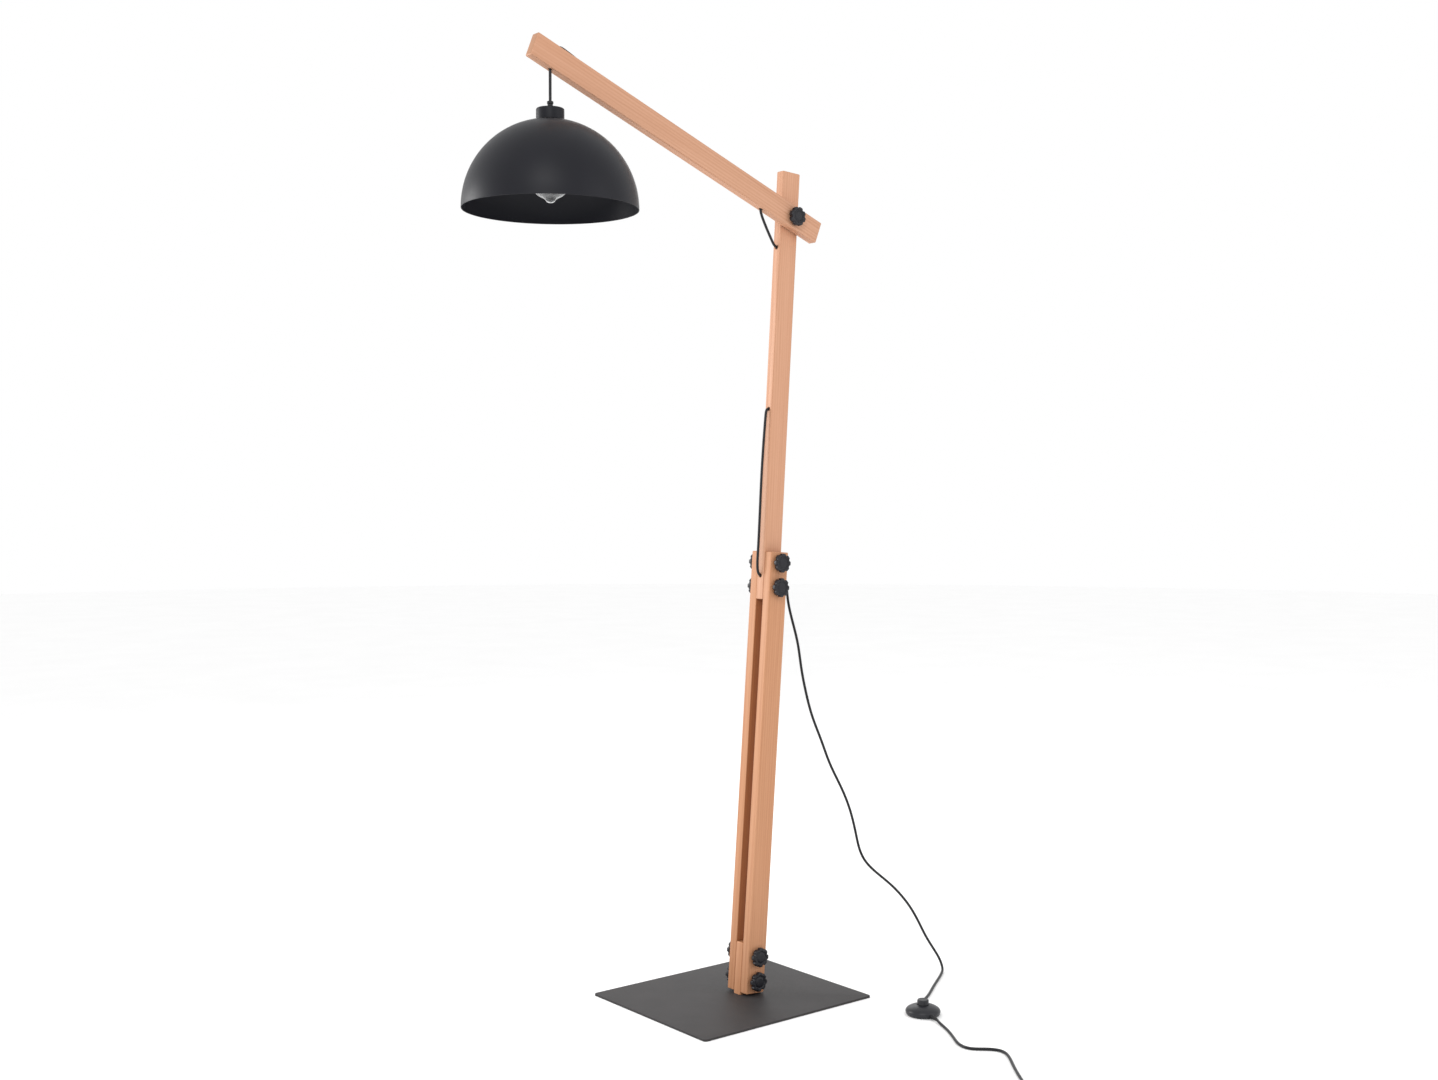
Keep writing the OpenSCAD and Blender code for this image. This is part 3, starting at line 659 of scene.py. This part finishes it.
put(dome(), "shade", "shade_shell", slot="shade_coat")
hold = fillet([(14.4, -60), (14.4, -81.4), (15, -82), (19.2, -82), (19.8, -81.2), (19.8, -48), (19.8, -32.2), (22, -32.0), (22, -29.8), (17.4, -29.4), (14, -22), (3, -20.4), (3, -24), (11, -26), (13, -40), (13, -60), (14.4, -60)], 0.6, 3)
put(lathe("lampholder_body", hold, BLACK, SHADE, 144, lambda a, r, z: r * (1 + 0.008 * max(0, math.cos(24 * a))) if (r > 19 and z < -50) else r, False, 40), "shade", "lampholder", slot="black_plastic")
rg = fillet([(20, -40), (20, -43.6), (20.6, -44), (24.4, -44), (25, -43.4), (25, -36.2), (24.4, -35.6), (20.4, -35.6), (20, -36), (20, -40)], 0.3, 3)
put(lathe("shade_ring_nut", rg, BLACK, SHADE, 192, lambda a, r, z: r + 0.35 * math.cos(32 * a) - 0.35 if r > 23.8 else r, False, 40), "shade", "shade_ring", slot="black_plastic")

BULB = SHADE @ Matrix.Translation((0, 0, -171.4 * MM))
OUT = [(0, 0), (4.5, 0.8), (7.5, 2.8), (9.2, 5.4), (12, 8), (19, 10.6), (25, 14.4), (29, 20), (31, 26.6), (31.6, 33.4), (31, 40.6), (29, 47.6), (26, 54), (22.6, 60.5), (18.8, 67.4), (15.8, 75), (14, 80.5), (12.8, 84), (12.6, 92)]
INN = [(11.8, 92), (12, 83.6), (13.2, 80), (15, 74.6), (18, 67), (21.8, 60.1), (25.2, 53.6), (28.2, 47.2), (30.2, 40.4), (30.8, 33.4), (30.2, 26.9), (28.3, 20.5), (24.5, 15.2), (18.6, 11.5), (11.4, 8.9), (8.3, 5.9), (7, 3.5), (4.2, 1.7), (0, 0.9)]


def flow(P, n=4):
    c = spline([[x, z, 0] for x, z in P], n)
    return [(max(0.0, float(a[0])), float(a[1])) for a in c]


put(lathe("bulb_envelope", flow(OUT) + flow(INN), GLASS, BULB, 96, None, False, 60), "shade", "bulb_glass", slot="bulb_clear")
capp = [(12.7, 84.6), (13.7, 84.6), (13.9, 85.4), (13.3, 86.6)]
z = 87.2
while z < 102:
    capp += [(13.1, z), (12.3, z + 0.9), (12.5, z + 1.9), (13.25, z + 2.7), (13.1, z + 3.4)]
    z += 3.6
capp += [(12.6, 103), (8, 106), (5.2, 106.6), (5, 107.8), (3.2, 108.5), (0, 108.6)]
put(lathe("bulb_screw_cap", capp, NICKEL, BULB, 80, None, False, 60), "shade", "bulb_cap", slot="bulb_metal")
stem = flow([(0, 50), (1.6, 50.6), (2.2, 56), (2.4, 66), (3.4, 71), (5.4, 78), (6.5, 84), (6.5, 92), (0, 92)], 4)
put(lathe("bulb_stem_glass", stem, GLASS, BULB, 40, None, False, 50), "shade", "bulb_stem", slot="bulb_inner")
for k in range(4):
    a, b = math.radians(k * 90 + 45), math.radians(k * 90 + 75)
    top, low = (9 * math.cos(a), 9 * math.sin(a), 66), (11 * math.cos(b), 11 * math.sin(b), 25)
    mid = ((top[0] + low[0]) / 2, (top[1] + low[1]) / 2, 45)
    put(wire(f"filament_{k+1}", [top, mid, low], 1.6, FILAMENT, BULB, 6, 4), "shade", slot="bulb_inner")
    put(wire(f"filament_lead_{k+1}", [(1.6 * math.cos(a), 1.6 * math.sin(a), 67), (5 * math.cos(a), 5 * math.sin(a), 68.5), top], 0.5, NICKEL, BULB, 6, 3), "shade", slot="bulb_inner")
    put(wire(f"filament_hook_{k+1}", [low, (6 * math.cos(b), 6 * math.sin(b), 23.5), (0.3 * math.cos(b), 0.3 * math.sin(b), 27), (0, 0, 50.5)], 0.4, NICKEL, BULB, 6, 3), "shade", slot="bulb_inner")

# ------------------------------------------------------------------ cables held on the stand
LOOP = [[49.82, -23.6, 1484.51], [48.9, -23.6, 1482.1], [50.5, -22.9, 1477], [57, -20, 1468], [68, -15.5, 1456], [80, -11, 1443], [92, -6.8, 1430.5], [99, -4.4, 1423.5], [106.7, -3.4, 1420]]
loop, _ = tube("loop_cable_run", LOOP, 5, CABLE, 24, 10)
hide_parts("loop_cable")
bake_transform(loop)
POST_R = [[-20.5, 0, 620], [-8, 0, 620], [6, 0, 620], [18, 0, 620], [18, 0, 608], [18, 0, 592], [18, 0, 460],
  [18, 0, 339.5], [18, 0, 323.5], [18, 0, 311.5], [6, 0, 311.5], [-8, 0, 311.5], [-20.5, 0, 311.5]]
put(wire("post_cable_run", POST_R, 5, CABLE, POST, 8, 5), "stand", "post_cable", slot="cable_sheath")
SIDE = [[-20.5, 0, 311.5], [-24, 0, 311], [-26.6, 0, 307.5], [-27.4, 0, 301], [-27.8, 0, 291.5], [-28.6, 0, 270], [-29.8, 0, 230],
  [-30.4, 0, 180], [-29.8, 0, 120], [-29.4, 0, 70], [-29.6, 0, 40], [-30, 0, 22], [-29.2, 0, 8], [-26.6, 0, -1.6], [-22, 0, -5.8], [-15, 0, -6.4],
  [-6, 0, -6.4], [6, 0, -6.4], [21.3, 0, -6.4]]
put(wire("side_cable_run", SIDE, 5, CABLE, POST, 10, 5), "stand", "side_cable", slot="cable_sheath")

# ------------------------------------------------------------------ foot switch
SW = Matrix.Translation((0.204, -0.301, 0))
put(lathe("switch_base_disc", fillet([(0, 0), (26.8, 0), (27.4, 0.5), (27.4, 2.6), (0, 2.6)], 0.3, 3), BLACK, SW, 96, None, False, 40), "stand", "switch_base", slot="black_plastic")
cov = fillet([(28.6, 5), (27.6, 0.6), (28.6, 0.3), (30.9, 2.4), (32, 6.0), (31.7, 8.6), (29.6, 11.6), (25.6, 14.2), (20, 16.6), (15, 18.0), (12.9, 18.6), (11.7, 18.8), (11.0, 18.4), (11.0, 15.2), (14.6, 15.4), (21.2, 13.6), (26.4, 11.0), (28.6, 8.5), (28.6, 5)],
  [0, 0.4, 0.4, 1.2, 2.0, 2.0, 3, 5, 6, 2, 0.6, 0.3, 0.3, 0.3, 0.3, 0.3, 0.3, 0.3, 0], 6)
co = lathe("switch_cover_shell", cov, SWITCH, SW, 144, None, False, 45)
holes = []
for a in (52, 254):
    q = SW @ Matrix.Rotation(math.radians(a), 4, "Z") @ Matrix.Translation((0.030, 0, 0.005)) @ Matrix.Rotation(math.pi / 2, 4, "Y")
    holes.append(lathe("cutter", [(0, -8), (3.6, -8), (3.6, 8), (0, 8)], SWITCH, q, 40))
put(cut(co, holes), "stand", "switch_cover", slot="switch_plastic")
but = fillet([(0, 12.6), (11.6, 12.6), (11.6, 13.4), (10.5, 13.6), (10.5, 26.2), (9.4, 27.8), (7.8, 27.9), (7.2, 27.4), (5, 27.5), (0, 27.7)], [0, 0.2, 0.3, 0.2, 1.6, 1.4, 0.4, 0.4, 1, 0], 5)
put(lathe("switch_button_cap", but, SWITCH, SW, 144, lambda a, r, z: r * (1 + 0.006 * math.cos(36 * a)) if (r > 10 and 15 < z < 25.5) else r, False, 50), "button", "switch_button", slot="switch_plastic")
for nm, a in (("switch_gland_in", 52), ("switch_gland_out", 254)):
    q = SW @ Matrix.Rotation(math.radians(a), 4, "Z") @ Matrix.Translation((0.028, 0, 0.005)) @ Matrix.Rotation(math.pi / 2, 4, "Y")
    p = [(0, 0), (3.5, 0), (3.5, 4.6), (3.9, 4.8), (3.9, 5.8)]
    z = 6.2
    while z < 18.4:
        r = 3.7 - 0.062 * (z - 6.2)
        p += [(r, z), (r, z + 1.0), (r - 0.35, z + 1.25), (r - 0.35, z + 1.75)]
        z += 2.0
    p += [(2.85, z), (2.7, z + 1.4), (0, z + 1.5)]
    put(lathe(nm + "_boot", p, CABLE, q, 48, None, False, 40), "stand", nm, slot="cable_sheath")

# ------------------------------------------------------------------ plug and tie
PLUG = Matrix.Translation((-0.044, -0.6896, 0.0064)) @ Matrix.Rotation(math.radians(141), 4, "Z")
AX = PLUG @ Matrix.Rotation(math.pi / 2, 4, "Y")
p = [(0, -1.5), (2.8, -1.5), (2.95, 0)]
z = 0.6
while z < 21:
    r = 3.1 + 0.055 * z
    p += [(r, z), (r, z + 1.3), (r - 0.4, z + 1.6), (r - 0.4, z + 2.2)]
    z += 2.4
p += [(4.25, z), (4.25, 25.5), (0, 25.5)]
put(lathe("plug_relief_boot", p, CABLE, AX, 48, None, False, 40), "stand", "plug_relief", slot="cable_sheath")
# body: rounded sections lofted along the plug
S = [(23.6, 4.2, 4.0), (24.2, 5.0, 4.8), (28, 6.6, 5.6), (31, 9.0, 6.0), (35, 13.2, 6.3), (38, 15.8, 6.4), (42, 17.2, 6.4), (50, 17.4, 6.4), (56, 17.4, 6.4), (58.6, 17.1, 6.2), (59.7, 16.2, 5.6), (60, 14.6, 4.6)]
V, F = [], []
n = 64
for x, hw, hh in S:
    for k in range(n):
        a = 2 * math.pi * k / n
        c, s = math.cos(a), math.sin(a)
        e = 0.42
        V.append((x * MM, hw * MM * math.copysign(abs(c) ** e, c), (0.1 + hh * math.copysign(abs(s) ** 0.7, s)) * MM))
for i in range(len(S) - 1):
    for k in range(n):
        F.append([i * n + k, i * n + (k + 1) % n, (i + 1) * n + (k + 1) % n, (i + 1) * n + k])
F.append(list(range(n))[::-1])
F.append([(len(S) - 1) * n + k for k in range(n)])
put(add("plug_body_shell", V, F, BLACK, PLUG, True, 50), "stand", "plug_body", slot="black_plastic")
for i, y in enumerate((-9.3, 9.3)):
    q = PLUG @ Matrix.Translation((0.0598, y * MM, 0.0002)) @ Matrix.Rotation(math.pi / 2, 4, "Y")
    pb = put(lathe(f"plug_pin_sleeve_{i+1}", fillet([(0, 0), (2.0, 0), (2.0, 10), (0, 10)], 0.15, 2), BLACK, q, 40, None, False, 40), "stand", slot="black_plastic")
    o = lathe(f"plug_pin_{i+1}", fillet([(0, 9), (1.92, 9), (1.92, 17.6), (1.2, 19), (0, 19.1)], 0.4, 4), NICKEL, q, 40, None, False, 40)
    if i == 0:
        put(o, "stand", "plug_pins", slot="bulb_metal")
    else:
        put(o, "stand", slot="bulb_metal")

TIE = Matrix.Translation((COIL[0] * MM, COIL[1] * MM, 0)) @ Matrix.Rotation(math.radians(60), 4, "Z")
loopP = []
cx, cz, hx, hz, rr = 27.5, 5.3, 5.6, 5.2, 2.4
for sx, sz, a0 in ((1, 1, 0), (-1, 1, 90), (-1, -1, 180), (1, -1, 270)):
    for j in range(6):
        a = math.radians(a0 + j * 18)
        loopP.append((cx + sx * (hx - rr) + rr * math.cos(a), cz + sz * (hz - rr) + rr * math.sin(a), math.cos(a), math.sin(a)))
V, F = [], []
sec = [(-0.4, -1.7), (0.0, -1.95), (0.4, -1.7), (0.5, -1.2), (0.5, 1.2), (0.4, 1.7), (0.0, 1.95), (-0.4, 1.7), (-0.4, 0)]
for x, z, nx, nz in loopP:
    for h, w in sec:
        V.append(((x + h * nx * 0.8) * MM, w * MM, max(0.0, (z + h * nz * 0.8)) * MM))
m, s = len(loopP), len(sec)
for i in range(m):
    for k in range(s):
        F.append([i * s + k, i * s + (k + 1) % s, ((i + 1) % m) * s + (k + 1) % s, ((i + 1) % m) * s + k])
put(add("cable_tie_band", V, F, BLACK, TIE, True, 50), "stand", "cable_tie", slot="black_plastic")
put(block("cable_tie_head", (25.2, -2.3, 10.0), (30.0, 2.3, 12.4), BLACK, TIE, 0.6, 3), "stand", slot="black_plastic")

# ------------------------------------------------------------------ CAD pieces that stay
for node, mat in (("plate_screws", ZINC), ("switch_core", CREAM)):
    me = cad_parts[node].data
    if not me.materials:
        me.materials.append(mat)
    for i in range(len(me.materials)):
        me.materials[i] = mat

# ------------------------------------------------------------------ floor and light
bm = bmesh.new()
bmesh.ops.create_circle(bm, cap_ends=True, segments=128, radius=14)
me = bpy.data.meshes.new("floor")
bm.to_mesh(me)
bm.free()
FL = Mat("floor_pale")
FL.link(FL.ramp(FL.noise(FL.mapped((1, 1, 1)), 3, 3), [(0.3, (0.965, 0.965, 0.965)), (0.7, (0.985, 0.985, 0.985))]), FL.b.inputs["Base Color"])
FL.set(Roughness=0.9, Specular_IOR_Level=0.1)
me.materials.append(FL.m)
floor = bpy.data.objects.new("floor", me)
floor.location.z = -0.0002
COL.objects.link(floor)

w = bpy.data.worlds.new("studio")
w.use_nodes = True
w.node_tree.nodes["Background"].inputs["Color"].default_value = (1, 1, 1, 1)
w.node_tree.nodes["Background"].inputs["Strength"].default_value = 1.0
scn.world = w


def area(name, loc, to, size, power, colour=(1, 1, 1)):
    l = bpy.data.lights.new(name, "AREA")
    l.shape, l.size, l.energy, l.color = "DISK", size, power, colour
    o = bpy.data.objects.new(name, l)
    o.location = loc
    o.rotation_euler = (Vector(to) - Vector(loc)).to_track_quat("-Z", "Y").to_euler()
    COL.objects.link(o)


area("key", (-2.6, -2.6, 3.2), (-0.1, 0, 1.0), 1.8, 42)
area("left", (-2.0, 2.5, 1.5), (-0.4, 0, 1.45), 1.5, 60)
area("fill", (1.6, -3.6, 2.2), (0, 0, 0.9), 2.4, 18)
area("back", (2.0, 2.8, 2.4), (0, 0, 1.0), 2.0, 16)
